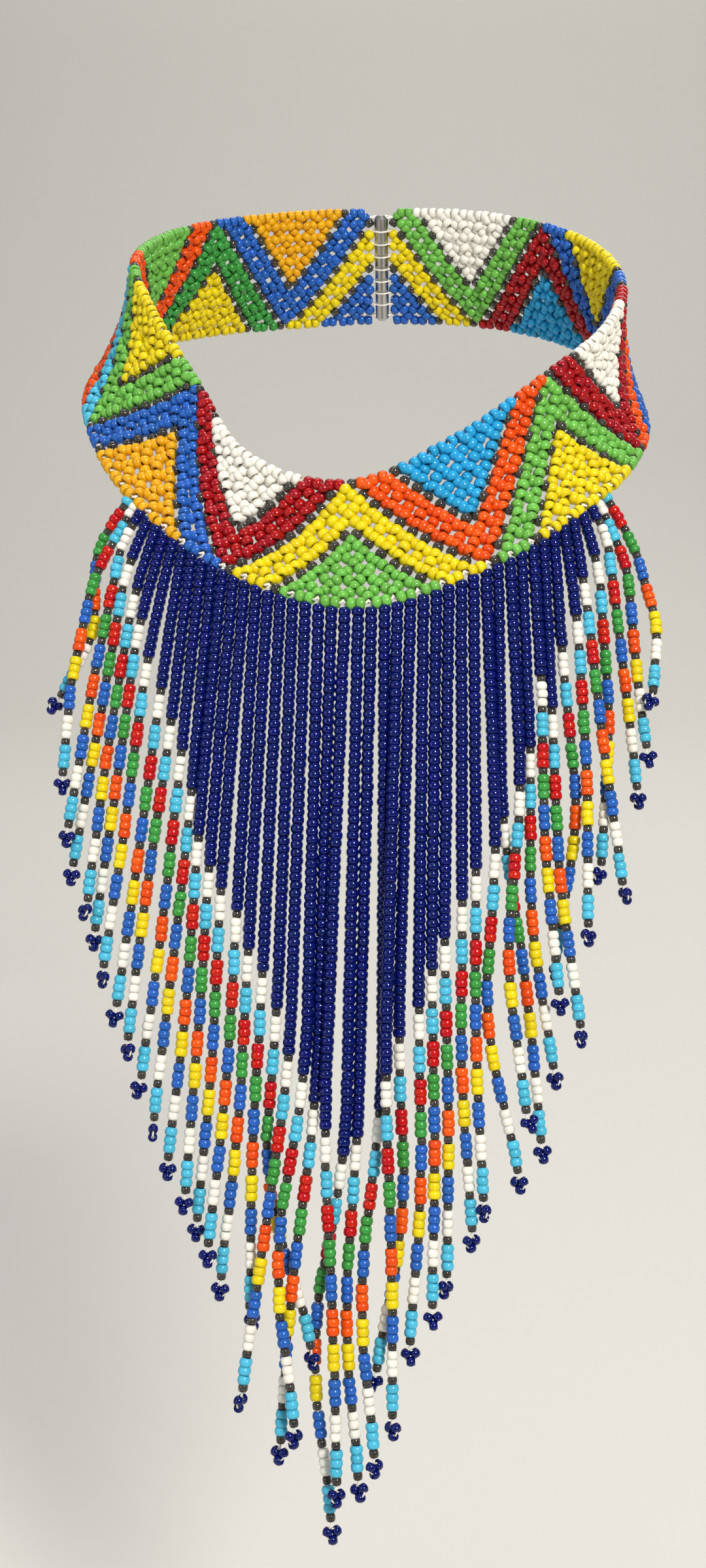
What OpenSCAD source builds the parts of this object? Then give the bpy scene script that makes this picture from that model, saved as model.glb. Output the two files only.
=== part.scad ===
// Beaded bib necklace: a netted band of glass beads round the neck, with a fringe of 45 bead strings.
// The origin is on the neck's axis, level with the dip of the band's upper edge at the throat.
// +Z is up, the front of the neck faces -Y, and +X is on the right of someone who looks at the front.

/* [Beads] */
// Length of a bead along its thread
bead_l = 1.63; // [1.5:0.01:1.7]
// Length of a dark bead between two colour groups
spacer_l = 1.44; // [1.2:0.02:1.6]
// Number of beads in a colour group
group_beads = 3; // [3]
// Number of colour groups below the navy beads
colour_groups = 10; // [9:1:11]

/* [Band] */
// Number of meshes of the net all the way round
meshes = 88; // [88]
// Thickness of the netted band
band_wall = 2.2; // [1.6:0.1:2.6]
// How far the band dips between its two edges
band_sag = 2.2; // [0:0.2:3]
// How far the band goes past its edge beads' centres, as a share of its height
edge_share = 0.01; // [0:0.005:0.01]
// Free stretch on each side of the back, in meshes, that holds the clasp
clasp_meshes = 0.55; // [0.55:0.05:0.8]

/* [Clasp] */
// Diameter of the clasp's tube
clasp_d = 3.6; // [3:0.1:3.8]
// Length of the clasp's tube
clasp_l = 28; // [24:0.5:30]
// Width of the rounding at the tube's ends
clasp_round = 0.8; // [0.4:0.1:1.2]

/* [Fringe] */
// Place of the middle string along the lower edge, in meshes from the front
fringe_middle = 0.1; // [0:0.05:0.2]
// Distance between two strings along the lower edge, in meshes
fringe_pitch = 0.522; // [0.52:0.001:0.524]
// How much further towards +X the outermost strings start, in meshes
fringe_skew = 0.5; // [0.4:0.05:0.55]
// Diameter of a string's tube
string_d = 2; // [1.8:0.05:2]
// Diameter of its upper end, where it hangs from the band's thread
thread_d = 0.8; // [0.6:0.05:0.8]
// Width of the small loop of beads that ends a string
loop_d = 3.2; // [2.4:0.1:3.2]
// Length of that loop
loop_l = 4.2; // [3.8:0.1:4.4]
// Distance from the middle of the edge beads to a string's upper end
string_start = 0.9; // [0.9:0.05:1.4]

/* [Chest] */
// How far the strings come forward for each millimetre that they fall
chest_slope = 0.364; // [0.3:0.002:0.42]
// Radius of the chest, seen from above, at the collarbone
chest_r = 70; // [65:1:80]
// How much that radius grows for each millimetre of fall
chest_growth = 1.7; // [1.4:0.1:2]

/* [Hidden] */
// One row for every half repeat of the pattern round the neck, from the front towards +X.
ANGLE = 0;
TOP_R = 1;
TOP_Z = 2;
TOP_TWIST = 3;
LOW_R = 4;
LOW_Z = 5;
LOW_TWIST = 6;
// angle, then radius, height and twist in degrees of the upper edge, then those of the lower edge
band_rows = [
    [0,     60.5, 0,    -1,   73.5, -23,   1.5],
    [22.5,  57.5, 9,    -0.5, 73,   -15.5, 0.5],
    [45,    57,   21.5, 0,    71,   -4,    0],
    [67.5,  58,   31.5, 0,    67,   5.5,   0],
    [90,    59,   41.5, 0,    64.5, 13.5,  0],
    [112.5, 59.5, 51,   0,    64.5, 23,    0],
    [135,   59.5, 58,   0,    66.5, 30.5,  0],
    [157.5, 59,   62,   0,    68,   35,    0],
    [180,   59,   63,   0,    68,   36,    0],
    [202.5, 59,   62,   0,    68,   34.5,  0],
    [225,   58.5, 59,   0,    67,   32,    0],
    [247.5, 57,   54,   0,    66,   27.5,  0],
    [270,   55,   47,   0,    65.5, 20.5,  0],
    [292.5, 51.5, 35.5, 0,    66.5, 11,    0],
    [315,   50,   19.5, 0,    69,   -2.5,  0],
    [337.5, 55.5, 5.5,  -2.5, 71,   -16.5, 1]
];

// One row for each string, from -X to +X: its number of navy beads and the length of bare thread
// between its colour groups in all, then how far it has gone sideways at its first colour group,
// halfway down the colours and at its end, and how far it lies in front at those three places.
NAVY = 0;
BARE = 1;
SIDE = 2;
LIFT = 5;
string_rows = [
    [0,  0,   -7,   -6,    -14.6, -0.8, -2.2, -0.4],
    [0,  0,   -8,   -11.4, -12.2, 1.4,  2,    0.7],
    [2,  2.5, -3.5, -8.4,  -12.1, 0.9,  0.6,  2.4],
    [6,  1.5, -4.3, -8.4,  -13.2, 0.6,  -0.3, -1.2],
    [9,  2,   -4.2, -8.1,  -10.6, 0,    0,    2.3],
    [12, 1,   -4.7, -7.7,  -11.4, 0,    -0.1, -1.3],
    [16, 0,   -4.5, -7.3,  -11,   0,    0,    0.4],
    [19, 1,   -3.3, -6.4,  -10.1, 0,    0,    0],
    [22, 1,   -2.8, -6.5,  -9.1,  0,    0,    2.2],
    [25, 2,   -2.6, -5.1,  -8.9,  0,    0,    -0.6],
    [29, 2,   -2.4, -5,    -8.1,  -0.3, 0,    0],
    [34, 0,   -3,   -4.2,  -7.2,  0.3,  0,    0],
    [37, 0,   -2.9, -3.9,  -5.4,  0,    0.3,  2.2],
    [39, 1,   -2.8, -3.3,  -5.8,  0,    0,    -1],
    [41, 1,   -1.8, -2.7,  -5.6,  0,    0.4,  2.2],
    [45, 0,   -1.8, -2.6,  -5.9,  0,    0,    -1],
    [47, 1,   -1.3, -2.5,  -1.8,  0,    -0.3, -0.7],
    [51, 2,   -0.8, -2.9,  9.8,   0,    -2.2, 1],
    [56, 0,   -0.6, -4.5,  -8.6,  0.8,  2.5,  2.5],
    [58, 2,   0,    -5.4,  0.8,   1,    3.6,  5.4],
    [61, 0.5, -0.7, -4.5,  -6.2,  -0.5, 2.8,  -0.5],
    [64, 2,   -1.6, 1.1,   2.8,   1.5,  2,    2.6],
    [67, 5.5, 0,    -6.7,  -0.1,  0.5,  -3.4, -0.8],
    [65, 0,   -0.5, -2.5,  1.9,   -0.7, -0.4, 0],
    [62, 1,   1.5,  -2.5,  2.3,   -2.3, 0.7,  1.5],
    [58, 0.5, -0.5, 1.6,   2.3,   3.1,  2.4,  1.5],
    [54, 0,   -0.8, 1.4,   -4.9,  0,    -0.4, -2.1],
    [51, 0,   0.5,  1.9,   -0.3,  0,    0,    0],
    [47, 0.5, 0.4,  1.7,   1.7,   0,    0.3,  1.1],
    [44, 1,   0.3,  1.8,   1.9,   0,    -0.1, -1],
    [40, 0,   1.2,  1.5,   4.6,   0,    0,    -0.4],
    [37, 0,   1.4,  1.7,   4.1,   0.2,  0.7,  1.9],
    [35, 0,   2.9,  0.9,   9.3,   0.9,  -0.5, -0.3],
    [32, 0,   1.5,  6.9,   10.5,  -1.4, -0.6, 0],
    [29, 0.5, 2.9,  0.2,   5.2,   0.7,  2.8,  3.2],
    [25, 0,   2.3,  2.6,   8.3,   -0.2, 0,    -0.4],
    [17, 0,   2.1,  3,     6.5,   0.9,  0.6,  3],
    [22, 0,   2.1,  3.7,   8.8,   -0.2, 2,    2],
    [15, 0,   1.9,  5.4,   0.5,   -0.3, -1.6, -2.8],
    [12, 0,   3,    5,     5.2,   0,    1.2,  3],
    [8,  0,   2.4,  6.2,   10.9,  0.4,  2.7,  1.1],
    [6,  1,   3.5,  5.8,   3.8,   0,    -0.6, -0.6],
    [2,  0,   3.3,  6.9,   10.3,  0.4,  -1,   -2.8],
    [0,  0,   6.2,  7.8,   10.4,  -0.2, -0.2, 0.2],
    [0,  0,   6.3,  10.9,  9.1,   0,    0.9,  3.7]
];
strings = len(string_rows);
middle_string = (strings - 1) / 2;

// Beads that the outermost strings on each side have above their first whole group.
short_groups = [1, 2];
// Number of strings at -X and at +X that have one group fewer than the others.
short_ends = [1, 3];
// Share of an outermost string's length where its first bend ends.
outer_first = 0.25;
// Share of a string's length over which its bends are eased.
ease = 0.06;
// Fall over which the strings come from the band's edge to the chest.
gap_fade = 15;

rows_round = len(band_rows);
row_meshes = meshes * band_rows[1][ANGLE] / 360;
string_sides = 8;
ring_step = 10;
run_steps = 40;
loop_places = [0.72, 0.3];
neck_share = 0.012;
wall_shares = [0, 0.08, 0.3, 0.5, 0.7, 0.92, 1];
wall_halves = [0.55, 1, 1, 1, 1, 1, 0.55];
wall_steps = 80;

// Smooth value of one column of the band's table at a place in meshes from the front.
function band_row(i) = band_rows[(i + 2 * rows_round) % rows_round];
function band_value(column, mesh) =
    let (
        place = mesh / row_meshes + rows_round,
        i = floor(place),
        f = place - i,
        a = band_row(i - 1)[column],
        b = band_row(i)[column],
        c = band_row(i + 1)[column],
        d = band_row(i + 2)[column]
    )
    0.5 * (2 * b + (c - a) * f + (2 * a - 5 * b + 4 * c - d) * f * f
        + (3 * b - a - 3 * c + d) * f * f * f);

// Point of one edge of the band.
function edge_point(mesh, r_column, z_column, twist_column) =
    let (
        turn = 360 * mesh / meshes + band_value(twist_column, mesh),
        r = band_value(r_column, mesh)
    )
    [r * sin(turn), -r * cos(turn), band_value(z_column, mesh)];
function top_point(mesh) = edge_point(mesh, TOP_R, TOP_Z, TOP_TWIST);
function low_point(mesh) = edge_point(mesh, LOW_R, LOW_Z, LOW_TWIST);

// Point of the band at a share of its height, off the middle of the wall by some depth.
function unit(v) = v / norm(v);
function band_normal(mesh) =
    let (
        rise = top_point(mesh) - low_point(mesh),
        turn = 360 * mesh / meshes
    )
    unit(cross(cross(rise, [sin(turn), -cos(turn), 0]), rise));
function band_point(mesh, share, depth) =
    let (low = low_point(mesh), rise = top_point(mesh) - low)
    low + share * rise
        + (depth - 4 * band_sag * share * (1 - share)) * band_normal(mesh);

// The closed outline of the wall's cross-section at one place round the neck.
function wall_share(i) = -edge_share + wall_shares[i] * (1 + 2 * edge_share);
function wall_section(mesh) = [
    for (i = [0 : len(wall_shares) - 1])
        band_point(mesh, wall_share(i), wall_halves[i] * band_wall / 2),
    for (i = [len(wall_shares) - 1 : -1 : 0])
        band_point(mesh, wall_share(i), -wall_halves[i] * band_wall / 2)
];

// Faces of a solid that runs through equal closed sections of so many points.
function skin_faces(sections, points) = [
    for (i = [0 : sections - 2], j = [0 : points - 1])
        let (
            a = i * points + j,
            b = i * points + (j + 1) % points,
            c = a + points,
            d = b + points
        )
        each [[a, b, d], [a, d, c]]
];
function flat_strip(first, points) = [
    for (j = [0 : points / 2 - 2])
        let (a = first + j, b = first + points - 1 - j)
        each [[a, b, b - 1], [a, b - 1, a + 1]]
];
function turned(faces) = [for (f = faces) [f[2], f[1], f[0]]];

// Chest that the strings lie on: its depth at a place, and the depth of a string's upper end on it.
function chest_y(x, z) =
    low_point(0).y + chest_slope * (z - low_point(0).z)
        + x * x / (2 * (chest_r + chest_growth * max(0, -3 - z)));

// Length of a string. The two outermost strings on each side are shorter than a whole row of colours.
function from_outside(k) = middle_string - abs(k - middle_string);
function is_outer(k) = from_outside(k) < len(short_groups);
function is_short(k) = k < short_ends[0] || k > strings - 1 - short_ends[1];
function upper_length(k) =
    (is_outer(k) ? short_groups[from_outside(k)] : string_rows[k][NAVY]) * bead_l + spacer_l;
function group_pitch(k) = group_beads * bead_l + spacer_l + string_rows[k][BARE] / colour_groups;
function groups_of(k) =
    colour_groups - (is_short(k) ? 1 : 0) - (is_outer(k) ? len(short_groups) - from_outside(k) : 0);
function string_length(k) = upper_length(k) + groups_of(k) * group_pitch(k) + loop_l;

// Sideways way or lift of a string at a share of its length, from three values in its row.
function first_share(k) =
    max(is_outer(k) ? outer_first : 0, upper_length(k) / string_length(k));
function string_bend(k, column, share) =
    let (
        first = first_share(k),
        half = (1 + first) / 2,
        row = string_rows[k],
        a = row[column],
        b = row[column + 1],
        c = row[column + 2]
    )
    share < first ? a * share / first
        : share < half ? a + (b - a) * (share - first) / (half - first)
            : b + (c - b) * (share - half) / (1 - half);
function smooth_bend(k, column, share) =
    (string_bend(k, column, max(0, share - ease)) + string_bend(k, column, share)
        + string_bend(k, column, min(1, share + ease))
        - string_bend(k, column, ease) * max(0, 1 - share / ease)) / 3;

// Point of a string at a share of its length, when its fall is made so much shorter than its length.
function string_mesh(k) =
    let (from_middle = k - middle_string)
    fringe_middle + from_middle * fringe_pitch + fringe_skew * pow(from_middle / middle_string, 2);
function string_point(k, share, shorter) =
    let (
        head = low_point(string_mesh(k)),
        gap = head.y - chest_y(head.x, head.z),
        fall = string_start + share * string_length(k) * shorter,
        x = head.x + smooth_bend(k, SIDE, share),
        z = head.z - fall
    )
    [x, chest_y(x, z) + gap * exp(-fall / gap_fade) - smooth_bend(k, LIFT, share), z];

// The fall that gives a string its true length along its bends, found in a few tries.
function route_length(points) =
    len(points) < 2 ? 0
        : let (steps = [for (i = [1 : len(points) - 1]) norm(points[i] - points[i - 1])])
            steps * [for (s = steps) 1];
function string_run(k, shorter) =
    route_length([for (i = [0 : run_steps]) string_point(k, i / run_steps, shorter)]);
function fall_factor(k, guess, tries) =
    tries == 0 ? guess
        : fall_factor(k, guess * string_length(k) / string_run(k, guess), tries - 1);

// Ring of a tube round a point of a string.
function string_ring(k, share, shorter, r) =
    let (
        p = string_point(k, share, shorter),
        ahead = unit(string_point(k, share + 0.01, shorter) - string_point(k, share - 0.01, shorter)),
        side = unit(cross(ahead, [0, -1, 0])),
        front = cross(side, ahead)
    )
    [for (i = [0 : string_sides - 1])
        p + r * (cos(360 * i / string_sides) * side + sin(360 * i / string_sides) * front)];

// A string: a thin tube, then the wider loop of beads at its end.
module string_of_beads(k) {
    l = string_length(k);
    shorter = fall_factor(k, 0.94, 3);
    body = 1 - loop_l / l;
    rings = max(3, ceil(l * body / ring_step));
    stations = [
        [0, thread_d],
        for (i = [0 : rings]) [neck_share + i / rings * (body - neck_share), string_d],
        for (place = loop_places) [1 - (1 - body) * place, loop_d],
        [1, string_d]
    ];
    points = [for (s = stations) each string_ring(k, s[0], shorter, s[1] / 2)];
    last = (len(stations) - 1) * string_sides;
    polyhedron(points, [
        each skin_faces(len(stations), string_sides),
        [for (i = [string_sides - 1 : -1 : 0]) i],
        [for (i = [0 : string_sides - 1]) last + i]
    ]);
}

// The netted band: one wall, open at the back where the clasp goes.
module collar() {
    color("orangered") {
        span = meshes - 2 * clasp_meshes;
        places = [for (i = [0 : wall_steps]) -meshes / 2 + clasp_meshes + span * i / wall_steps];
        count = 2 * len(wall_shares);
        polyhedron([for (m = places) each wall_section(m)], turned([
            each turned(flat_strip(0, count)),
            each turned(skin_faces(len(places), count)),
            each flat_strip((len(places) - 1) * count, count)
        ]));
    }
}

// The clasp: a plain tube between the band's two ends, along the back of the neck.
module clasp() {
    back = meshes / 2;
    low = band_point(back, 0, -band_sag / 2);
    rise = top_point(back) - low_point(back);
    tilt = atan2(-rise.y, rise.z);
    r = clasp_d / 2;
    color("silver")
        translate(low + rise / 2)
            rotate([tilt, 0, 0])
                rotate_extrude($fn = 48)
                    polygon([
                        [0, -clasp_l / 2],
                        [r - clasp_round, -clasp_l / 2],
                        [r, -clasp_l / 2 + clasp_round],
                        [r, clasp_l / 2 - clasp_round],
                        [r - clasp_round, clasp_l / 2],
                        [0, clasp_l / 2]
                    ]);
}

module strand(k) {
    color(string_rows[k][NAVY] > 20 ? "midnightblue" : "deepskyblue")
        string_of_beads(k);
}

function strand_name(k) = str("strand_", k < 9 ? "0" : "", k + 1);
collar();
clasp();
for (k = [0 : strings - 1])
    strand(k);
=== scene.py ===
import math

import bpy
import numpy as np
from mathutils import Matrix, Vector


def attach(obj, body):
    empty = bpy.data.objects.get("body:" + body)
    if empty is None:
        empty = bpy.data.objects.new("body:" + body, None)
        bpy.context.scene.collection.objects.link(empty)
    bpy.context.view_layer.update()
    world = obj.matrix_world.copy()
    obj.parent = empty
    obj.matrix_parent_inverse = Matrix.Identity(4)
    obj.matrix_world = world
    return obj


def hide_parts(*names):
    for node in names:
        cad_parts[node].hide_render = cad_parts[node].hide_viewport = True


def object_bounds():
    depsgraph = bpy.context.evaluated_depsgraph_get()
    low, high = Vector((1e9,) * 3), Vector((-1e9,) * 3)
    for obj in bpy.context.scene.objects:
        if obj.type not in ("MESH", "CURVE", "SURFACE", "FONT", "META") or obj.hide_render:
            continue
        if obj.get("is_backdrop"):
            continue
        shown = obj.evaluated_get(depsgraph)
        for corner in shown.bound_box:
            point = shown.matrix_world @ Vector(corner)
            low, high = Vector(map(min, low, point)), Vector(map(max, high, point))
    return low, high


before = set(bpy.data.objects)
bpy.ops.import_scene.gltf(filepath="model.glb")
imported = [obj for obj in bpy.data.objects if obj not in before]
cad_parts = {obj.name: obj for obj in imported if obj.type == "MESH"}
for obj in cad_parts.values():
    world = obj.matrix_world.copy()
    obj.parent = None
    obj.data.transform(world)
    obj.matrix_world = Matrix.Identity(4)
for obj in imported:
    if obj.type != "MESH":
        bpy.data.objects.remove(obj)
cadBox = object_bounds()
mm = 0.001  # the necklace's own sizes are in millimetres, and its meshes in metres
chance = np.random.default_rng(45)
print("frame loaded,", len(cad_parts), "solids")


# Camera, floor and light
view = {
    "place": (0.0259, -0.443, 0.0249),
    "turn": 3.8,  # degrees from +Y towards -X
    "down": 13.0,  # degrees below level
    "lens": 42.0,
    "nearest": 0.01,
}
studio = {
    "floorHeight": -0.30,
    "floorReach": 3.0,
    "wallPlace": 1.9,
    "wallHeight": 3.0,
    "curve": 0.7,  # where the floor goes over into the wall
    "curveSteps": 16,
    "touching": 0.01,  # how near a point is to the wall's foot when it counts as on it
    "paper": (0.66, 0.644, 0.60),
    "paperRough": 0.8,
    "tooth": 400.0,
    "toothDepth": 0.0002,
    "toothStrength": 0.1,
    "sky": (0.93, 0.96, 1.0),
    "skyStrength": 0.20,
}
# place, point it faces, size, power and colour of each soft lamp
necklace = (0.0, -0.05, -0.06)
lamps = {
    "key": ((0.45, -0.85, 0.62), necklace, 0.30, 13.0, (1.0, 0.97, 0.93)),
    "fill": ((-0.95, -0.75, 0.35), necklace, 0.9, 4.0, (0.92, 0.96, 1.0)),
    "top": ((-0.1, 0.1, 1.1), necklace, 0.9, 4.0, (1.0, 1.0, 1.0)),
    "back": ((0.5, 1.1, 0.7), necklace, 0.9, 4.0, (1.0, 0.98, 0.95)),
    "wall": ((0.0, 0.9, 1.7), (0.0, 1.9, 0.35), 1.0, 16.0, (1.0, 0.99, 0.97)),
}


def makeCamera():
    data = bpy.data.cameras.new("camera")
    data.lens = view["lens"]
    data.clip_start = view["nearest"]
    camera = bpy.data.objects.new("camera", data)
    bpy.context.scene.collection.objects.link(camera)
    camera.location = view["place"]
    camera.rotation_euler = (math.radians(90 - view["down"]), 0, math.radians(view["turn"]))
    bpy.context.scene.camera = camera


def makeLight():
    # the soft lamps and a weak sky
    for name, (place, aim, size, power, colour) in lamps.items():
        data = bpy.data.lights.new(name, "AREA")
        data.shape = "DISK"
        data.size = size
        data.energy = power
        data.color = colour
        lamp = bpy.data.objects.new(name, data)
        bpy.context.scene.collection.objects.link(lamp)
        lamp.location = place
        lamp.rotation_euler = (Vector(aim) - lamp.location).to_track_quat("-Z", "Y").to_euler()
    world = bpy.data.worlds.new("soft sky")
    world.use_nodes = True
    sky = world.node_tree.nodes["Background"]
    sky.inputs["Color"].default_value = (*studio["sky"], 1)
    sky.inputs["Strength"].default_value = studio["skyStrength"]
    bpy.context.scene.world = world
    bpy.context.scene.view_settings.view_transform = "Standard"


# Materials
class Wire:
    # a socket that plain arithmetic joins to Math nodes
    def __init__(self, paint, socket):
        self.paint = paint
        self.socket = socket

    def maths(self, operation, first, second):
        return self.paint.node("ShaderNodeMath", {"operation": operation}, {0: first, 1: second})

    def __add__(self, other):
        return self.maths("ADD", self, other)

    def __radd__(self, other):
        return self.maths("ADD", other, self)

    def __sub__(self, other):
        return self.maths("SUBTRACT", self, other)

    def __rsub__(self, other):
        return self.maths("SUBTRACT", other, self)

    def __mul__(self, other):
        return self.maths("MULTIPLY", self, other)

    def __rmul__(self, other):
        return self.maths("MULTIPLY", other, self)


class Paint:
    # a material and the one way in which its nodes are made
    def __init__(self, name):
        self.material = bpy.data.materials.new(name)
        self.material.use_nodes = True
        self.tree = self.material.node_tree
        self.tree.nodes.clear()

    def node(self, kind, settings, values, output=0):
        made = self.tree.nodes.new(kind)
        for name, value in settings.items():
            setattr(made, name, value)
        for name, value in values.items():
            if isinstance(value, Wire):
                self.tree.links.new(value.socket, made.inputs[name])
            else:
                made.inputs[name].default_value = value
        return Wire(self, made.outputs[output]) if made.outputs else None

    def noise(self, place, scale, detail=2.0):
        return self.node("ShaderNodeTexNoise", {}, {"Vector": place, "Scale": scale, "Detail": detail})

    def blend(self, share, first, second):
        # the sockets of the colour mix have the same names as others, so they are found by number
        return self.node("ShaderNodeMix", {"data_type": "RGBA"}, {0: share, 6: first, 7: second}, 2)

    def bump(self, strength, distance, height):
        values = {"Strength": strength, "Distance": distance, "Height": height}
        return self.node("ShaderNodeBump", {}, values)

    def finish(self, values):
        shader = self.node("ShaderNodeBsdfPrincipled", {}, values)
        self.node("ShaderNodeOutputMaterial", {}, {"Surface": shader})
        return self.material


def linear(red, green, blue):
    # a colour as it looks on a screen, from 0 to 255, made linear by the screen's own curve
    parts = [c / 255 for c in (red, green, blue)]
    return tuple(c / 12.92 if c <= 0.04045 else ((c + 0.055) / 1.055) ** 2.4 for c in parts) + (1,)


# colour of the glass, how much one bead differs from the next, roughness, and how clear it is
glass = {
    "navy": (linear(4, 18, 91), 0.12, 0.11, 0.0),
    "white": (linear(232, 228, 216), 0.05, 0.22, 0.0),
    "turquoise": (linear(74, 178, 208), 0.10, 0.20, 0.0),
    "sky": (linear(34, 152, 204), 0.12, 0.22, 0.0),
    "red": (linear(186, 17, 11), 0.10, 0.20, 0.0),
    "crimson": (linear(158, 14, 22), 0.10, 0.20, 0.0),
    "leaf": (linear(106, 176, 72), 0.12, 0.20, 0.0),
    "green": (linear(56, 144, 60), 0.12, 0.20, 0.0),
    "royal": (linear(36, 92, 176), 0.12, 0.20, 0.0),
    "orange": (linear(224, 77, 8), 0.08, 0.22, 0.0),
    "yellow": (linear(223, 200, 14), 0.07, 0.22, 0.0),
    "amber": (linear(222, 160, 13), 0.08, 0.22, 0.0),
    "smoke": (linear(86, 82, 76), 0.20, 0.08, 0.6),
}
glassGrain = {
    "cloud": 700.0,  # scales of the slow and of the fine unevenness
    "speck": 5200.0,
    "cloudLight": 0.16,
    "hueSpread": 0.006,
    "dent": 0.000008,
    "dentStrength": 0.5,
    "speckRough": 0.10,
    "rimPaintedShade": 0.72,  # painted shade: the glass's colour is made darker round the hole, in the groove where beads meet, and the glass is also duller there
    "rimShadeShare": 0.6,
    "rimRough": 0.14,
    "shine": 0.34,
    "ior": 1.5,
}


def beadGlass(name):
    colour, spread, rough, clear = glass[name]
    paint = Paint("glass_" + name)
    place = paint.node("ShaderNodeTexCoord", {}, {}, "Object")
    tone = paint.node("ShaderNodeAttribute", {"attribute_name": "beadTone"}, {}, "Fac")
    rim = paint.node("ShaderNodeAttribute", {"attribute_name": "beadRim"}, {}, "Fac")
    cloud = paint.noise(place, glassGrain["cloud"])
    speck = paint.noise(place, glassGrain["speck"])
    light = 1 + (tone - 0.5) * spread * 2 + (cloud - 0.5) * glassGrain["cloudLight"]
    hue = 0.5 + (tone - 0.5) * glassGrain["hueSpread"]
    own = paint.node(
        "ShaderNodeHueSaturation",
        {},
        {"Hue": hue, "Saturation": 1.0, "Value": light, "Fac": 1.0, "Color": colour},
    )
    # painted shade: a darker copy of the glass's colour, blended in round the hole where the beads meet
    paintedShade = tuple(c * glassGrain["rimPaintedShade"] for c in colour[:3]) + (1,)
    return paint.finish(
        {
            "Base Color": paint.blend(rim * glassGrain["rimShadeShare"], own, paintedShade),
            "Roughness": rough + (speck - 0.5) * glassGrain["speckRough"] + rim * glassGrain["rimRough"],
            "Normal": paint.bump(glassGrain["dentStrength"], glassGrain["dent"], speck + cloud * 2),
            "Transmission Weight": clear,
            "Specular IOR Level": glassGrain["shine"],
            "IOR": glassGrain["ior"],
        }
    )


cotton = {
    "colour": linear(246, 243, 234),
    "dirt": linear(210, 203, 186),
    "soil": 160.0,
    "soilShare": 0.5,
    "twist": 2600.0,
    "twistWarp": 2.0,
    "twistShare": 0.2,
    "fibre": 9000.0,
    "fibreDetail": 3.0,
    "fibreHeight": 0.5,
    "dent": 0.00002,
    "dentStrength": 0.6,
    "rough": 0.62,
    "fibreRough": 0.2,
}


def threadCotton():
    paint = Paint("thread_cotton")
    place = paint.node("ShaderNodeTexCoord", {}, {}, "Object")
    fibre = paint.noise(place, cotton["fibre"], cotton["fibreDetail"])
    soil = paint.noise(place, cotton["soil"])
    strands = paint.node(
        "ShaderNodeTexWave",
        {"bands_direction": "DIAGONAL"},
        {"Vector": place, "Scale": cotton["twist"], "Distortion": cotton["twistWarp"]},
        "Fac",
    )
    dirty = soil * cotton["soilShare"] + strands * cotton["twistShare"]
    height = strands + fibre * cotton["fibreHeight"]
    return paint.finish(
        {
            "Base Color": paint.blend(dirty, cotton["colour"], cotton["dirt"]),
            "Roughness": cotton["rough"] + fibre * cotton["fibreRough"],
            "Normal": paint.bump(cotton["dentStrength"], cotton["dent"], height),
        }
    )


steel = {
    "colour": linear(206, 205, 200),
    "dull": linear(150, 148, 142),
    "cloud": 260.0,
    "dullShare": 0.7,
    "grain": 5200.0,
    "grainDetail": 4.0,
    "stretch": 0.04,
    "dent": 0.00003,
    "dentStrength": 0.3,
    "rough": 0.22,
    "grainRough": 0.18,
}


def claspSteel():
    paint = Paint("clasp_steel")
    place = paint.node("ShaderNodeTexCoord", {}, {}, "Object")
    drawn = paint.node("ShaderNodeMapping", {}, {"Vector": place, "Scale": (1, 1, steel["stretch"])})
    grain = paint.noise(drawn, steel["grain"], steel["grainDetail"])
    cloud = paint.noise(place, steel["cloud"])
    return paint.finish(
        {
            "Base Color": paint.blend(cloud * steel["dullShare"], steel["colour"], steel["dull"]),
            "Metallic": 1.0,
            "Roughness": steel["rough"] + grain * steel["grainRough"],
            "Normal": paint.bump(steel["dentStrength"], steel["dent"], grain),
        }
    )


def studioPaper():
    paint = Paint("studio_paper")
    place = paint.node("ShaderNodeTexCoord", {}, {}, "Object")
    tooth = paint.noise(place, studio["tooth"])
    return paint.finish(
        {
            "Base Color": (*studio["paper"], 1),
            "Roughness": studio["paperRough"],
            "Normal": paint.bump(studio["toothStrength"], studio["toothDepth"], tooth),
        }
    )


# The upper half of each bead's wall, from its belly to its hole, as shares of its radius and half length
beadShapes = {
    "round": [(1.0, 0.34), (0.74, 1.0), (0.32, 0.72)],
    "ripple": [(1.0, 0.36), (0.82, 1.0), (0.34, 0.7)],
    "lobed": [(1.0, 0.20), (0.92, 0.62), (0.76, 1.0), (0.34, 0.7)],
    "barrel": [(1.0, 0.26), (0.94, 0.68), (0.79, 1.0), (0.34, 0.7)],
    "small": [(1.0, 0.45), (0.80, 1.0), (0.42, 0.7)],
}
# shares of a bead's radius, apart from its number of sides
beadMaking = {
    "sides": 10,
    "away": 4.0,  # where a wall's outline is drawn, clear of the first ring
    "touching": 0.001,
    "margin": 0.01,
}


def clearSelection():
    if bpy.context.object and bpy.context.object.mode != "OBJECT":
        bpy.ops.object.mode_set(mode="OBJECT")
    bpy.ops.object.select_all(action="DESELECT")


def selectPoints(obj, wanted):
    # in edit mode, selects the points that the test wants
    bpy.ops.mesh.select_all(action="DESELECT")
    bpy.ops.object.mode_set(mode="OBJECT")
    for point in obj.data.vertices:
        point.select = bool(wanted(point.co))
    bpy.ops.object.mode_set(mode="EDIT")


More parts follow.
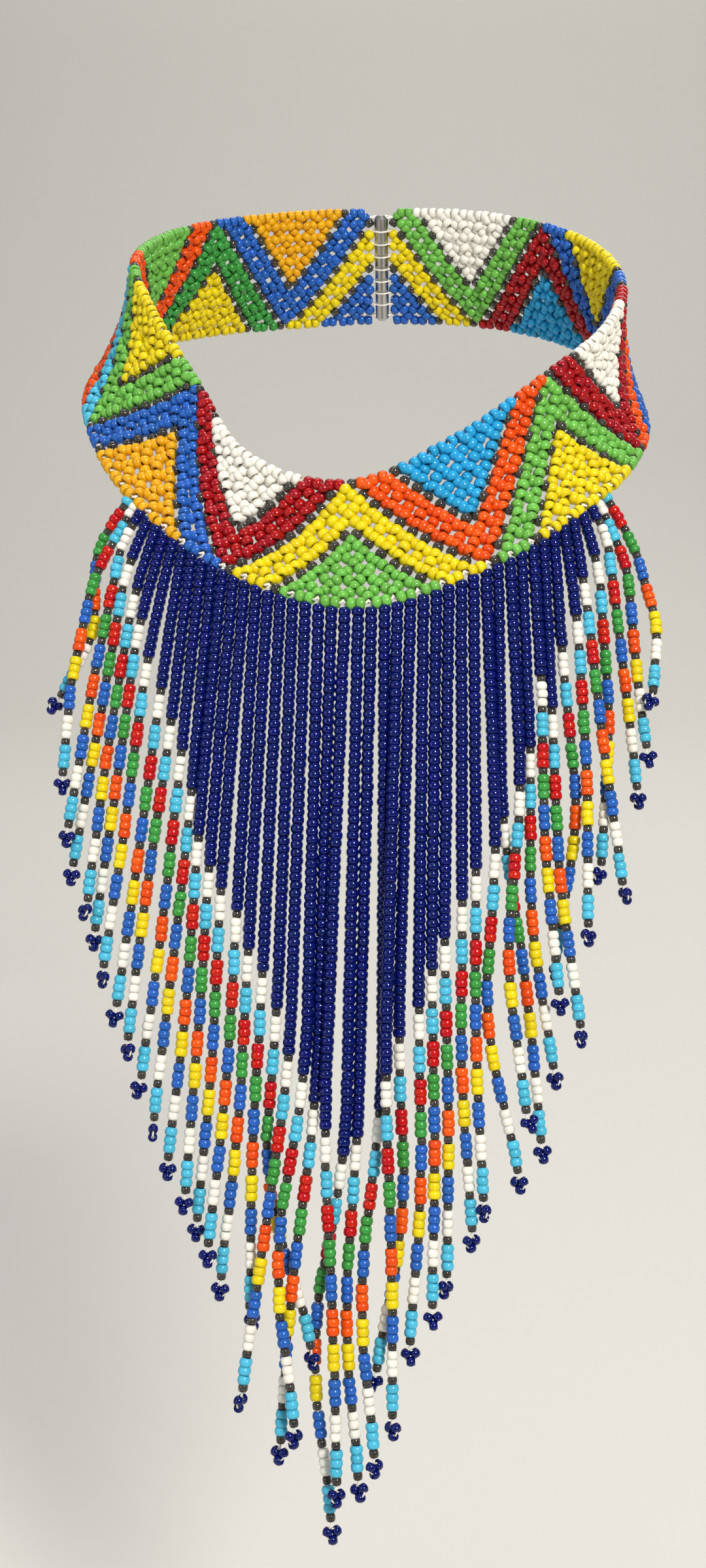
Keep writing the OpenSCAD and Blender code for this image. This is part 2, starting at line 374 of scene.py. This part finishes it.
def makeBead(name, upper):
    # the wall's outline as a ring, spun round the hole
    corners = upper + [(r, -z) for r, z in reversed(upper) if z > 0]
    clearSelection()
    bpy.ops.mesh.primitive_circle_add(vertices=len(corners), radius=1, rotation=(math.radians(90), 0, 0))
    bead = bpy.context.object
    bead.name = "bead_" + name
    bpy.ops.object.transform_apply(location=False, rotation=True, scale=False)
    bpy.ops.object.mode_set(mode="EDIT")
    bpy.ops.mesh.select_mode(type="VERT")
    away = Vector((beadMaking["away"], 0, 0))
    for number, (r, z) in enumerate(corners):
        start = bead.data.vertices[number].co.copy()
        selectPoints(bead, lambda p: (p - start).length < beadMaking["touching"])
        bpy.ops.transform.translate(value=Vector((r, 0, z)) + away - start)
    bpy.ops.mesh.select_all(action="SELECT")
    bpy.ops.transform.translate(value=-away)
    bpy.ops.mesh.spin(steps=beadMaking["sides"], angle=math.tau, center=(0, 0, 0), axis=(0, 0, 1))
    bpy.ops.mesh.select_all(action="SELECT")
    bpy.ops.mesh.remove_doubles(threshold=beadMaking["touching"])
    bpy.ops.mesh.normals_make_consistent(inside=False)
    bpy.ops.object.mode_set(mode="OBJECT")
    points = np.array([v.co for v in bead.data.vertices])
    faces = np.array([list(f.vertices) for f in bead.data.polygons])
    reach = np.hypot(points[:, 0], points[:, 1])
    rim = np.clip((1 - reach) / (1 - upper[-1][0]), 0, 1)
    wall = np.any(reach[faces] > upper[-2][0] + beadMaking["margin"], axis=1)
    bpy.data.objects.remove(bead)
    return points, faces, rim, wall


class BeadHeap:
    # the beads of one piece, joined in one mesh of its own
    def __init__(self):
        self.points = []
        self.faces = []
        self.tones = []
        self.rims = []
        self.walls = []
        self.glass = []
        self.count = 0

    def add(self, shape, colour, centre, axis, diameter, length):
        points, faces, rim, wall = beads[shape]
        tone = chance.random()
        wobble = chance.normal(0, 1, 3)
        along = axis / np.linalg.norm(axis)
        side = np.cross(along, wobble)
        side /= np.linalg.norm(side)
        turn = np.array([side, np.cross(along, side), along])
        size = np.array([diameter / 2, diameter / 2, length / 2])
        self.points.append(((points * size) @ turn + centre) * mm)
        self.faces.append(faces + self.count)
        self.tones.append(np.full(len(points), tone))
        self.rims.append(rim)
        self.walls.append(wall)
        self.glass.append(np.full(len(faces), colourOrder.index(colour)))
        self.count += len(points)

    def build(self, name):
        mesh = bpy.data.meshes.new(name)
        mesh.from_pydata(np.concatenate(self.points), [], np.concatenate(self.faces).tolist())
        for label, values in (("beadTone", self.tones), ("beadRim", self.rims)):
            mesh.attributes.new(label, "FLOAT", "POINT").data.foreach_set("value", np.concatenate(values))
        glassOf = np.concatenate(self.glass)
        used = sorted(set(glassOf.tolist()))
        for number in used:
            mesh.materials.append(glassPaints[colourOrder[number]])
        mesh.polygons.foreach_set("material_index", np.searchsorted(used, glassOf))
        mesh.polygons.foreach_set("use_smooth", np.concatenate(self.walls))
        piece = bpy.data.objects.new(name, mesh)
        bpy.context.scene.collection.objects.link(piece)
        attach(piece, "root")
        return piece


def makeThread(name, routes, radius, roundness=1):
    # tubes of thread along routes in millimetres, joined in one mesh
    curve = bpy.data.curves.new(name, "CURVE")
    curve.dimensions = "3D"
    curve.bevel_depth = radius * mm
    curve.bevel_resolution = roundness
    curve.use_fill_caps = True
    for route in routes:
        spline = curve.splines.new("POLY")
        spline.points.add(len(route) - 1)
        for point, place in zip(spline.points, route):
            point.co = (*(place * mm), 1)
    thread = bpy.data.objects.new(name, curve)
    bpy.context.scene.collection.objects.link(thread)
    clearSelection()
    thread.select_set(True)
    bpy.context.view_layer.objects.active = thread
    bpy.ops.object.convert(target="MESH")
    thread = bpy.context.object
    thread.name = name
    bpy.ops.object.shade_smooth()
    thread.data.materials.clear()
    thread.data.materials.append(threadPaint)
    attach(thread, "root")


# The band: the same rows as the solid collar's, fitted to the photo, from the front towards +X
# angle, then radius, height and twist in degrees of the upper edge, then those of the lower edge
bandRows = [
    (0, 60.5, 0, -1, 73.5, -23, 1.5),
    (22.5, 57.5, 9, -0.5, 73, -15.5, 0.5),
    (45, 57, 21.5, 0, 71, -4, 0),
    (67.5, 58, 31.5, 0, 67, 5.5, 0),
    (90, 59, 41.5, 0, 64.5, 13.5, 0),
    (112.5, 59.5, 51, 0, 64.5, 23, 0),
    (135, 59.5, 58, 0, 66.5, 30.5, 0),
    (157.5, 59, 62, 0, 68, 35, 0),
    (180, 59, 63, 0, 68, 36, 0),
    (202.5, 59, 62, 0, 68, 34.5, 0),
    (225, 58.5, 59, 0, 67, 32, 0),
    (247.5, 57, 54, 0, 66, 27.5, 0),
    (270, 55, 47, 0, 65.5, 20.5, 0),
    (292.5, 51.5, 35.5, 0, 66.5, 11, 0),
    (315, 50, 19.5, 0, 69, -2.5, 0),
    (337.5, 55.5, 5.5, -2.5, 71, -16.5, 1),
]
upperEdge = (1, 2, 3)  # columns of radius, height and twist
lowerEdge = (4, 5, 6)
band = {
    "meshes": 88,
    "rows": 10,  # rows of beads that join the meshes
    "lowRow": 0.42,  # where the edge beads lie, in the same rows
    "topRow": 10.36,
    "lowPattern": 0.5,  # the rows of the pattern that give them their colours
    "topPattern": 10.5,
    "sag": 2.2,
    "repeat": 11,  # meshes in one repeat of the pattern
    "beadD": 2.74,
    "beadL": 2.05,
    "edgeD": 2.7,
    "edgeL": 2.0,
    "smokeShare": 0.88,  # size of the dark beads against the others
    "openShare": 0.93,  # and of the beads in the middle triangle, whose net is pulled open
    "openReach": 4,
    "sizeSpread": 0.025,
    "pair": 1.0,  # half the distance between the two beads of an edge pair
    "claspRoom": 0.7,  # meshes on each side of the back that stay free
    "tilt": 0.09,
    "shift": 0.10,
    "edgeShift": 0.05,
    "stagger": 0.25,
    "nodeOut": 0.2,  # how far the joining beads are pushed out by the beads round them
    "lookAhead": 0.05,  # meshes or rows on each side of a bead that give its direction
}
# how far the pattern's black lines are from the middle of their figure, counted along the diagonals
figureLines = {
    "caret": 5.5,
    "peak": 3.5,  # round the small peak in a caret
    "pit": 2,  # round the small pit in a vee
    "inside": 0.5,  # from a line to the colour inside it
}
# colours by the place of each figure's middle, in half repeats from the front
bigCaret = {
    0: "yellow", 2: "leaf", 4: "orange", 6: "crimson", 8: "yellow",
    -2: "royal", -4: "turquoise", -6: "green",
}
smallPeak = {
    0: "leaf", 2: "yellow", 4: "royal", 6: "sky", 8: "royal",
    -2: "amber", -4: "orange", -6: "yellow",
}
bigVee = {
    1: "orange", 3: "crimson", 5: "royal", 7: "leaf",
    -1: "crimson", -3: "leaf", -5: "orange", -7: "royal",
}
smallPit = {
    1: "sky", 3: "white", 5: "yellow", 7: "white",
    -1: "white", -3: "yellow", -5: "leaf", -7: "amber",
}


def bandValue(column, mesh):
    # a smooth curve through the rows (Catmull-Rom)
    place = mesh / (band["meshes"] / len(bandRows))
    i = math.floor(place)
    f = place - i
    a, b, c, d = (bandRows[(i + step) % len(bandRows)][column] for step in (-1, 0, 1, 2))
    return 0.5 * (
        2 * b + (c - a) * f + (2 * a - 5 * b + 4 * c - d) * f * f + (3 * b - a - 3 * c + d) * f * f * f
    )


def edgePoint(mesh, columns):
    r, z, twist = (bandValue(column, mesh) for column in columns)
    turn = math.radians(360 * mesh / band["meshes"] + twist)
    return np.array([r * math.sin(turn), -r * math.cos(turn), z])


def lowPoint(mesh):
    return edgePoint(mesh, lowerEdge)


def topPoint(mesh):
    return edgePoint(mesh, upperEdge)


def bandNormal(mesh):
    # the way straight out of the band
    rise = topPoint(mesh) - lowPoint(mesh)
    turn = math.radians(360 * mesh / band["meshes"])
    out = np.cross(np.cross(rise, [math.sin(turn), -math.cos(turn), 0]), rise)
    return out / np.linalg.norm(out)


def bandPoint(mesh, row, depth=0.0):
    # a place on the net: meshes round from the front, rows up, and millimetres out from its middle
    share = (row - band["lowRow"]) / (band["topRow"] - band["lowRow"])
    low = lowPoint(mesh)
    rise = topPoint(mesh) - low
    return low + share * rise + (depth - 4 * band["sag"] * share * (1 - share)) * bandNormal(mesh)


def figureColour(mesh, row):
    # the zigzag pattern: big carets that stand on the lower edge, with vees between them, each with a
    # black line and another colour inside it. left and right count along the net's two diagonals
    repeat = band["repeat"]
    caret = repeat * round(mesh / repeat)
    left = mesh - caret - row / 2
    right = mesh - caret + row / 2
    half = round(2 * caret / repeat)
    line = figureLines["caret"]
    peak = figureLines["peak"]
    pit = figureLines["pit"]
    if left == -line or right == line:
        return "smoke"
    if left > -line and right < line:
        if (left == -peak and right <= peak) or (right == peak and left >= -peak):
            return "smoke"
        reach = peak - figureLines["inside"]
        inner = left >= -reach and right <= reach
        return (smallPeak if inner else bigCaret)[wrapped(half)]
    way = 1 if right > line else -1
    left -= way * repeat / 2
    right -= way * repeat / 2
    if (right == pit and left <= -pit) or (left == -pit and right >= pit):
        return "smoke"
    reach = pit + figureLines["inside"]
    inner = right >= reach and left <= -reach
    return (smallPit if inner else bigVee)[wrapped(half + way)]


def wrapped(half):
    # half repeats from the front, from -7 at one side of the back to 8
    count = 2 * band["meshes"] // band["repeat"]
    first = count // 2 - 1
    return (half + first) % count - first


def edgeColour(mesh, row, blackWay):
    # at an edge only one of the two diagonals keeps its black line
    colour = figureColour(mesh, row)
    caret = band["repeat"] * round(mesh / band["repeat"])
    diagonal = mesh - caret + blackWay * row / 2
    if colour == "smoke" and diagonal == round(diagonal):
        return figureColour(mesh - 0.5, row)
    return colour


def staggered(side, row):
    # how far out a slanting run of beads lies, before and behind the net's middle by turns
    return side * band["stagger"] * (1 - 2 * (row % 2))


def netBead(heaps, colour, mesh, row, along, depth):
    # one bead of the net, whose thread runs along by meshes and rows
    step = band["lookAhead"]
    ahead = bandPoint(mesh + along[0] * step, row + along[1] * step)
    axis = ahead - bandPoint(mesh - along[0] * step, row - along[1] * step)
    axis = axis / np.linalg.norm(axis) + chance.normal(0, band["tilt"], 3)
    centre = bandPoint(mesh, row, depth) + chance.normal(0, band["shift"], 3)
    share = band["smokeShare"] if colour == "smoke" else 1
    size = (1 + chance.normal(0, band["sizeSpread"])) * share
    if colour == smallPeak[0] and abs(mesh) < band["openReach"]:
        size *= band["openShare"]
    heap = heaps.setdefault(colour, BeadHeap())
    heap.add("round", colour, centre, axis, band["beadD"] * size, band["beadL"] * size)


def edgeBeads(heaps, middle, row, patternRow, blackWay):
    # a pair of beads on an edge's thread, side by side
    width = np.linalg.norm(bandPoint(middle + 0.5, row) - bandPoint(middle - 0.5, row))
    straight = bandPoint(middle + 0.25, row) - bandPoint(middle - 0.25, row)
    straight /= np.linalg.norm(straight)
    for way in (-1, 1):
        colour = edgeColour(middle + way * 0.25, patternRow, blackWay)
        mesh = middle + way * band["pair"] / width
        axis = straight + chance.normal(0, band["tilt"], 3)
        centre = bandPoint(mesh, row) + chance.normal(0, band["edgeShift"], 3)
        size = band["smokeShare"] if colour == "smoke" else 1
        heap = heaps.setdefault(colour, BeadHeap())
        heap.add("round", colour, centre, axis, band["edgeD"] * size, band["edgeL"] * size)


def makeBand():
    # the joining beads lie half a mesh further on from row to row, with one bead halfway between two
    heaps = {}
    reach = band["meshes"] / 2 - band["claspRoom"]
    for row in range(1, band["rows"] + 1):
        first = 0.5 * (row % 2)
        for step in range(-band["meshes"] // 2, band["meshes"] // 2 + 1):
            mesh = step + first
            if abs(mesh) <= reach:
                netBead(heaps, figureColour(mesh, row), mesh, row, (0, 1), band["nodeOut"])
            if row == band["rows"]:
                continue
            for side in (-1, 1):
                place = mesh + side * 0.25
                if abs(place) <= reach:
                    colour = figureColour(place, row + 0.5)
                    netBead(heaps, colour, place, row + 0.5, (side * 0.5, 1), staggered(side, row))
    for step in range(-band["meshes"] // 2, band["meshes"] // 2):
        if abs(step) < reach:
            edgeBeads(heaps, step, band["lowRow"], band["lowPattern"], -1)
        if abs(step + 0.5) < reach:
            edgeBeads(heaps, step + 0.5, band["topRow"], band["topPattern"], 1)
    for colour, heap in sorted(heaps.items()):
        piece = heap.build("collar_beads_" + colour)
        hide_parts("collar")
    print("band:", sum(len(h.tones) for h in heaps.values()), "beads in", len(heaps), "colours")


# radii of the threads, and how many rows from a joining bead's middle a slanting thread begins
bandThread = {"net": 0.13, "netRoundness": 0, "edge": 0.28, "begin": 0.1}
# a loop at an edge: meshes from its joining bead, rows from that bead or from the edge, millimetres out
loopByBead = [(0, 0.1, 0), (0, 0.30, 0.1)]
loopByEdge = [(0.04, 0.10, 0.25), (0.13, -0.03, 0.1), (0.25, 0, 0), (0.5, 0, 0)]


def makeBandThread():
    # the zigzag threads inside the net, and the loops that hold the pairs along both edges
    reach = band["meshes"] / 2 - band["claspRoom"]
    net = []
    edges = []
    for step in range(-band["meshes"] // 2, band["meshes"] // 2 + 1):
        for side in (-1, 1):
            for row in range(1, band["rows"]):
                mesh = step + 0.5 * (row % 2)
                if abs(mesh) > reach or abs(mesh + side * 0.5) > reach:
                    continue
                start = bandPoint(mesh, row + bandThread["begin"])
                belly = bandPoint(mesh + side * 0.25, row + 0.5, staggered(side, row))
                end = bandPoint(mesh + side * 0.5, row + 1 - bandThread["begin"])
                net.append([start, belly, end])
            for middle, edge, way in ((step, band["lowRow"], 1), (step + 0.5, band["topRow"], -1)):
                knot = middle + side * 0.5
                if abs(knot) > reach or abs(middle) > reach:
                    continue
                bead = 1 if way > 0 else band["rows"]
                stops = [(along, bead - way * up, out) for along, up, out in loopByBead]
                stops += [(along, edge + way * up, out) for along, up, out in loopByEdge]
                edges.append([bandPoint(knot - side * along, height, out) for along, height, out in stops])
    makeThread("collar_net_thread", net, bandThread["net"], bandThread["netRoundness"])
    makeThread("collar_edge_thread", edges, bandThread["edge"])
    print("band thread:", len(net) + len(edges), "lengths")


# The fringe: the same rows as the solid strings', fitted to the photo, from -X to +X
# number of navy beads, bare thread between the colour groups in all, then how far a string has gone
# sideways at its first colour group, halfway down the colours and at its end, then its lift at each
stringRows = [
    (0, 0, -7, -6, -14.6, -0.8, -2.2, -0.4),
    (0, 0, -8, -11.4, -12.2, 1.4, 2, 0.7),
    (2, 2.5, -3.5, -8.4, -12.1, 0.9, 0.6, 2.4),
    (6, 1.5, -4.3, -8.4, -13.2, 0.6, -0.3, -1.2),
    (9, 2, -4.2, -8.1, -10.6, 0, 0, 2.3),
    (12, 1, -4.7, -7.7, -11.4, 0, -0.1, -1.3),
    (16, 0, -4.5, -7.3, -11, 0, 0, 0.4),
    (19, 1, -3.3, -6.4, -10.1, 0, 0, 0),
    (22, 1, -2.8, -6.5, -9.1, 0, 0, 2.2),
    (25, 2, -2.6, -5.1, -8.9, 0, 0, -0.6),
    (29, 2, -2.4, -5, -8.1, -0.3, 0, 0),
    (34, 0, -3, -4.2, -7.2, 0.3, 0, 0),
    (37, 0, -2.9, -3.9, -5.4, 0, 0.3, 2.2),
    (39, 1, -2.8, -3.3, -5.8, 0, 0, -1),
    (41, 1, -1.8, -2.7, -5.6, 0, 0.4, 2.2),
    (45, 0, -1.8, -2.6, -5.9, 0, 0, -1),
    (47, 1, -1.3, -2.5, -1.8, 0, -0.3, -0.7),
    (51, 2, -0.8, -2.9, 9.8, 0, -2.2, 1),
    (56, 0, -0.6, -4.5, -8.6, 0.8, 2.5, 2.5),
    (58, 2, 0, -5.4, 0.8, 1, 3.6, 5.4),
    (61, 0.5, -0.7, -4.5, -6.2, -0.5, 2.8, -0.5),
    (64, 2, -1.6, 1.1, 2.8, 1.5, 2, 2.6),
    (67, 5.5, 0, -6.7, -0.1, 0.5, -3.4, -0.8),
    (65, 0, -0.5, -2.5, 1.9, -0.7, -0.4, 0),
    (62, 1, 1.5, -2.5, 2.3, -2.3, 0.7, 1.5),
    (58, 0.5, -0.5, 1.6, 2.3, 3.1, 2.4, 1.5),
    (54, 0, -0.8, 1.4, -4.9, 0, -0.4, -2.1),
    (51, 0, 0.5, 1.9, -0.3, 0, 0, 0),
    (47, 0.5, 0.4, 1.7, 1.7, 0, 0.3, 1.1),
    (44, 1, 0.3, 1.8, 1.9, 0, -0.1, -1),
    (40, 0, 1.2, 1.5, 4.6, 0, 0, -0.4),
    (37, 0, 1.4, 1.7, 4.1, 0.2, 0.7, 1.9),
    (35, 0, 2.9, 0.9, 9.3, 0.9, -0.5, -0.3),
    (32, 0, 1.5, 6.9, 10.5, -1.4, -0.6, 0),
    (29, 0.5, 2.9, 0.2, 5.2, 0.7, 2.8, 3.2),
    (25, 0, 2.3, 2.6, 8.3, -0.2, 0, -0.4),
    (17, 0, 2.1, 3, 6.5, 0.9, 0.6, 3),
    (22, 0, 2.1, 3.7, 8.8, -0.2, 2, 2),
    (15, 0, 1.9, 5.4, 0.5, -0.3, -1.6, -2.8),
    (12, 0, 3, 5, 5.2, 0, 1.2, 3),
    (8, 0, 2.4, 6.2, 10.9, 0.4, 2.7, 1.1),
    (6, 1, 3.5, 5.8, 3.8, 0, -0.6, -0.6),
    (2, 0, 3.3, 6.9, 10.3, 0.4, -1, -2.8),
    (0, 0, 6.2, 7.8, 10.4, -0.2, -0.2, 0.2),
    (0, 0, 6.3, 10.9, 9.1, 0, 0.9, 3.7),
]
navyColumn = 0
bareColumn = 1
sideColumns = slice(2, 5)
liftColumns = slice(5, 8)
fringe = {
    "beadL": 1.63,
    "spacerL": 1.44,
    "groupBeads": 3,
    "middle": 0.1,  # meshes from the front to the middle string
    "pitch": 0.522,  # meshes between two strings
    "skew": 0.5,  # meshes that the outermost strings start further towards +X
    "start": 0.9,  # from the middle of the edge beads to a string's first bead
    "outerFirst": 0.25,  # share of an outermost string where its first bend ends
    "ease": 0.06,  # share of a string over which its bends are eased
    "gapFade": 15.0,  # fall over which a string comes from the band to the drape
    "loopL": 4.2,
    "shortGroups": (1, 2),  # beads of the two outermost strings above their first whole group
    "shortEnds": (1, 3),  # strings at -X and at +X that have one group fewer
    "bareShares": (0.3, 0.4, 0.3),  # of the bare thread: before a group, before its spacer, after it
    "tilt": 0.035,
    "shift": 0.04,
    "sizeSpread": 0.02,
    "drawnLonger": 1.04,  # so that no dark line shows between two beads
    "thread": 0.24,
    "threadStep": 1.6,
    "fewestSteps": 4,
}
# the surface that the strings lie on: it leans forward, and it is wider the lower it gets
drape = {"slope": 0.364, "r": 70.0, "growth": 1.7, "growsBelow": -3}
groupOrder = [
    "white", "turquoise", "red", "green", "royal", "orange", "yellow", "royal", "white", "turquoise",
]
leftOutWhenShort = 7  # the second royal blue group
# shape and diameter of a bead on a string, by its colour
stringBeads = {
    "navy": ("ripple", 2.6),
    "white": ("lobed", 2.38),
    "turquoise": ("lobed", 2.54),
    "red": ("barrel", 2.6),
    "green": ("lobed", 2.5),
    "royal": ("lobed", 2.5),
    "orange": ("barrel", 2.54),
    "yellow": ("barrel", 2.57),
    "smoke": ("small", 1.85),
}
# the three beads at a string's end, and the thread that goes round through them
loop = {
    "r": 1.05,
    "beadD": 1.95,
    "beadL": 1.6,
    "beadAngles": (30, 150, 270),
    "turn": 0.7,
    "swing": 0.12,
    "neck": 0.3,
    "thread": 0.2,
    "threadAngles": range(60, -271, -30),
}
# how a string's route is found, from a first guess of its fall as a share of its length
routing = {"fall": 0.94, "tries": 3, "steps": 40, "fineSteps": 400, "lookAhead": 0.4}


def drapeY(x, z):
    low = lowPoint(0)
    growing = drape["r"] + drape["growth"] * np.maximum(0, drape["growsBelow"] - z)
    return low[1] + drape["slope"] * (z - low[2]) + x * x / (2 * growing)


def stringFacts(k):
    # what a string is made of, and where it hangs and bends
    row = stringRows[k]
    middle = (len(stringRows) - 1) / 2
    fromOutside = int(middle - abs(k - middle))
    outer = fromOutside < len(fringe["shortGroups"])
    short = k < fringe["shortEnds"][0] or k > len(stringRows) - 1 - fringe["shortEnds"][1]
    colours = list(groupOrder)
    if short:
        del colours[leftOutWhenShort]
    start = ["navy"] * row[navyColumn]
    if outer:
        missing = len(fringe["shortGroups"]) - fromOutside
        start = [colours[missing - 1]] * fringe["shortGroups"][fromOutside]
        colours = colours[missing:]
    bare = row[bareColumn] / len(groupOrder)
    upper = len(start) * fringe["beadL"] + fringe["spacerL"]
    pitch = fringe["groupBeads"] * fringe["beadL"] + fringe["spacerL"] + bare
    length = upper + len(colours) * pitch + fringe["loopL"]
    fromMiddle = k - middle
    skewed = fringe["skew"] * (fromMiddle / middle) ** 2
    return {
        "start": start,
        "colours": colours,
        "bare": bare,
        "length": length,
        "mesh": fringe["middle"] + fromMiddle * fringe["pitch"] + skewed,
        "first": max(fringe["outerFirst"] if outer else 0, upper / length),
        "side": row[sideColumns],
        "lift": row[liftColumns],
    }


def stringRoute(facts, shorter, steps):
    # a string's course in even steps, when its fall is made so much shorter than its length
    share = np.linspace(0, 1, steps + 1)
    ease = fringe["ease"]
    stations = [0, facts["first"], (1 + facts["first"]) / 2, 1]

    def bend(values, places):
        return np.interp(places, stations, [0, *values])

    def smooth(values):
        early = bend(values, np.maximum(0, share - ease))
        late = bend(values, np.minimum(1, share + ease))
        start = bend(values, ease) * np.maximum(0, 1 - share / ease)
        return (early + bend(values, share) + late - start) / 3

    head = lowPoint(facts["mesh"])
    gap = head[1] - drapeY(head[0], head[2])
    fall = fringe["start"] + share * facts["length"] * shorter
    x = head[0] + smooth(facts["side"])
    z = head[2] - fall
    y = drapeY(x, z) + gap * np.exp(-fall / fringe["gapFade"]) - smooth(facts["lift"])
    return np.stack([x, y, z], 1)


def lengths(route):
    # length of thread up to each point of a route
    return np.concatenate([[0], np.cumsum(np.linalg.norm(np.diff(route, axis=0), axis=1))])


def fittedRoute(facts):
    # the fall that gives the string its true length, found in a few tries
    shorter = routing["fall"]
    for _ in range(routing["tries"]):
        shorter *= facts["length"] / lengths(stringRoute(facts, shorter, routing["steps"]))[-1]
    return stringRoute(facts, shorter, routing["fineSteps"])


class Along:
    # places along a route by the length of thread from its start
    def __init__(self, route):
        self.route = route
        self.run = lengths(route)

    def place(self, length):
        return np.array([np.interp(length, self.run, self.route[:, i]) for i in range(3)])

    def way(self, length):
        step = self.place(length + routing["lookAhead"]) - self.place(length - routing["lookAhead"])
        return step / np.linalg.norm(step)


def hangBeads(heap, along, at, colour, number, length):
    # a run of beads on a string from a place on its thread, and the place where the run ends
    shape, diameter = stringBeads[colour]
    for i in range(number):
        middle = at + (i + 0.5) * length
        axis = along.way(middle) + chance.normal(0, fringe["tilt"], 3)
        centre = along.place(middle) + chance.normal(0, fringe["shift"], 3)
        size = 1 + chance.normal(0, fringe["sizeSpread"])
        heap.add(shape, colour, centre, axis, diameter * size, length * fringe["drawnLonger"])
    return at + number * length


def hangLoop(heap, along, at):
    # three navy beads in a triangle, and the thread through them
    top = along.place(at)
    down = along.way(at) + chance.normal(0, loop["swing"], 3)
    down /= np.linalg.norm(down)
    side = np.cross(down, [0, -1, 0]) + chance.normal(0, loop["turn"], 3)
    side -= down * (side @ down)
    side /= np.linalg.norm(side)
    middle = top + down * (fringe["loopL"] - loop["r"] - loop["beadD"] / 2)

    def around(angle):
        a = math.radians(angle)
        return middle + loop["r"] * (math.cos(a) * side - math.sin(a) * down)

    for angle in loop["beadAngles"]:
        a = math.radians(angle)
        axis = math.sin(a) * side + math.cos(a) * down
        heap.add("round", "navy", around(angle), axis, loop["beadD"], loop["beadL"])
    neck = top + down * loop["neck"]
    return [top, neck, *[around(angle) for angle in loop["threadAngles"]], neck]


def makeFringe():
    threads = []
    loops = []
    beadL = fringe["beadL"]
    spacerL = fringe["spacerL"]
    for k in range(len(stringRows)):
        facts = stringFacts(k)
        along = Along(fittedRoute(facts))
        heap = BeadHeap()
        before, between, after = (share * facts["bare"] for share in fringe["bareShares"])
        first = facts["start"][0] if facts["start"] else "navy"
        at = hangBeads(heap, along, 0, first, len(facts["start"]), beadL)
        at = hangBeads(heap, along, at, "smoke", 1, spacerL)
        for colour in facts["colours"]:
            at = hangBeads(heap, along, at + before, colour, fringe["groupBeads"], beadL)
            at = hangBeads(heap, along, at + between, "smoke", 1, spacerL) + after
        loops.append(hangLoop(heap, along, at))
        count = max(fringe["fewestSteps"], round(at / fringe["threadStep"]))
        head = bandPoint(facts["mesh"], band["lowRow"])
        threads.append([head] + [along.place(at * i / count) for i in range(count + 1)])
        name = "strand_%02d" % (k + 1)
        piece = heap.build(name + "_beads")
        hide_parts(name)
    makeThread("fringe_thread", threads, fringe["thread"])
    makeThread("fringe_loop_thread", loops, loop["thread"])
    print("fringe:", len(stringRows), "strings")


# The clasp: the solid tube with its metal, and the thread that ties the band's ends to it
tie = {"turns": 9, "bends": 7, "reach": 2.05, "thread": 0.2, "endRoom": 0.1}


def finishClasp():
    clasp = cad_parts["clasp"]
    clasp.data.materials.clear()
    clasp.data.materials.append(claspPaint)
    ties = []
    back = band["meshes"] / 2
    out = bandNormal(back)
    for i in range(tie["turns"]):
        row = 1 + i * (band["rows"] - 1) / (tie["turns"] - 1)
        middle = bandPoint(back, row)
        for way in (-1, 1):
            side = np.array([way, 0, 0])
            end = bandPoint(way * (back - band["claspRoom"] - tie["endRoom"]), row)
            ring = [
                middle + tie["reach"] * (math.sin(a) * out - math.cos(a) * side)
                for a in np.linspace(-0.5 * math.pi, 0.5 * math.pi, tie["bends"])
            ]
            ties.append([end, *ring, end])
    makeThread("clasp_thread", ties, tie["thread"])
    print("clasp tied with", len(ties), "loops")


def makeFloor():
    clearSelection()
    reach = studio["floorReach"]
    bpy.ops.mesh.primitive_plane_add(size=2 * reach, location=(0, studio["wallPlace"] - reach, 0))
    floor = bpy.context.object
    floor.name = "studio_floor"
    bpy.ops.object.transform_apply()
    bpy.ops.object.mode_set(mode="EDIT")
    bpy.ops.mesh.select_mode(type="VERT")
    far = studio["wallPlace"] - studio["touching"]
    selectPoints(floor, lambda p: p.y > far)
    bpy.ops.mesh.extrude_region_move(TRANSFORM_OT_translate={"value": (0, 0, studio["wallHeight"])})
    selectPoints(floor, lambda p: p.y > far and abs(p.z) < studio["touching"])
    bpy.ops.mesh.bevel(offset=studio["curve"], segments=studio["curveSteps"], affect="EDGES")
    bpy.ops.object.mode_set(mode="OBJECT")
    bpy.ops.object.shade_smooth()
    floor.location.z = studio["floorHeight"]
    floor.data.materials.append(studioPaper())
    floor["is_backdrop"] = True


makeCamera()
makeLight()
makeFloor()
beads = {name: makeBead(name, shape) for name, shape in beadShapes.items()}
colourOrder = list(glass)
glassPaints = {name: beadGlass(name) for name in glass}
threadPaint = threadCotton()
claspPaint = claspSteel()
print("studio, beads and materials ready")
makeBand()
makeBandThread()
makeFringe()
finishClasp()

for label, (low, high) in (("CAD", cadBox), ("visual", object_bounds())):
    print(label, "box", [round(v, 4) for v in low], [round(v, 4) for v in high])
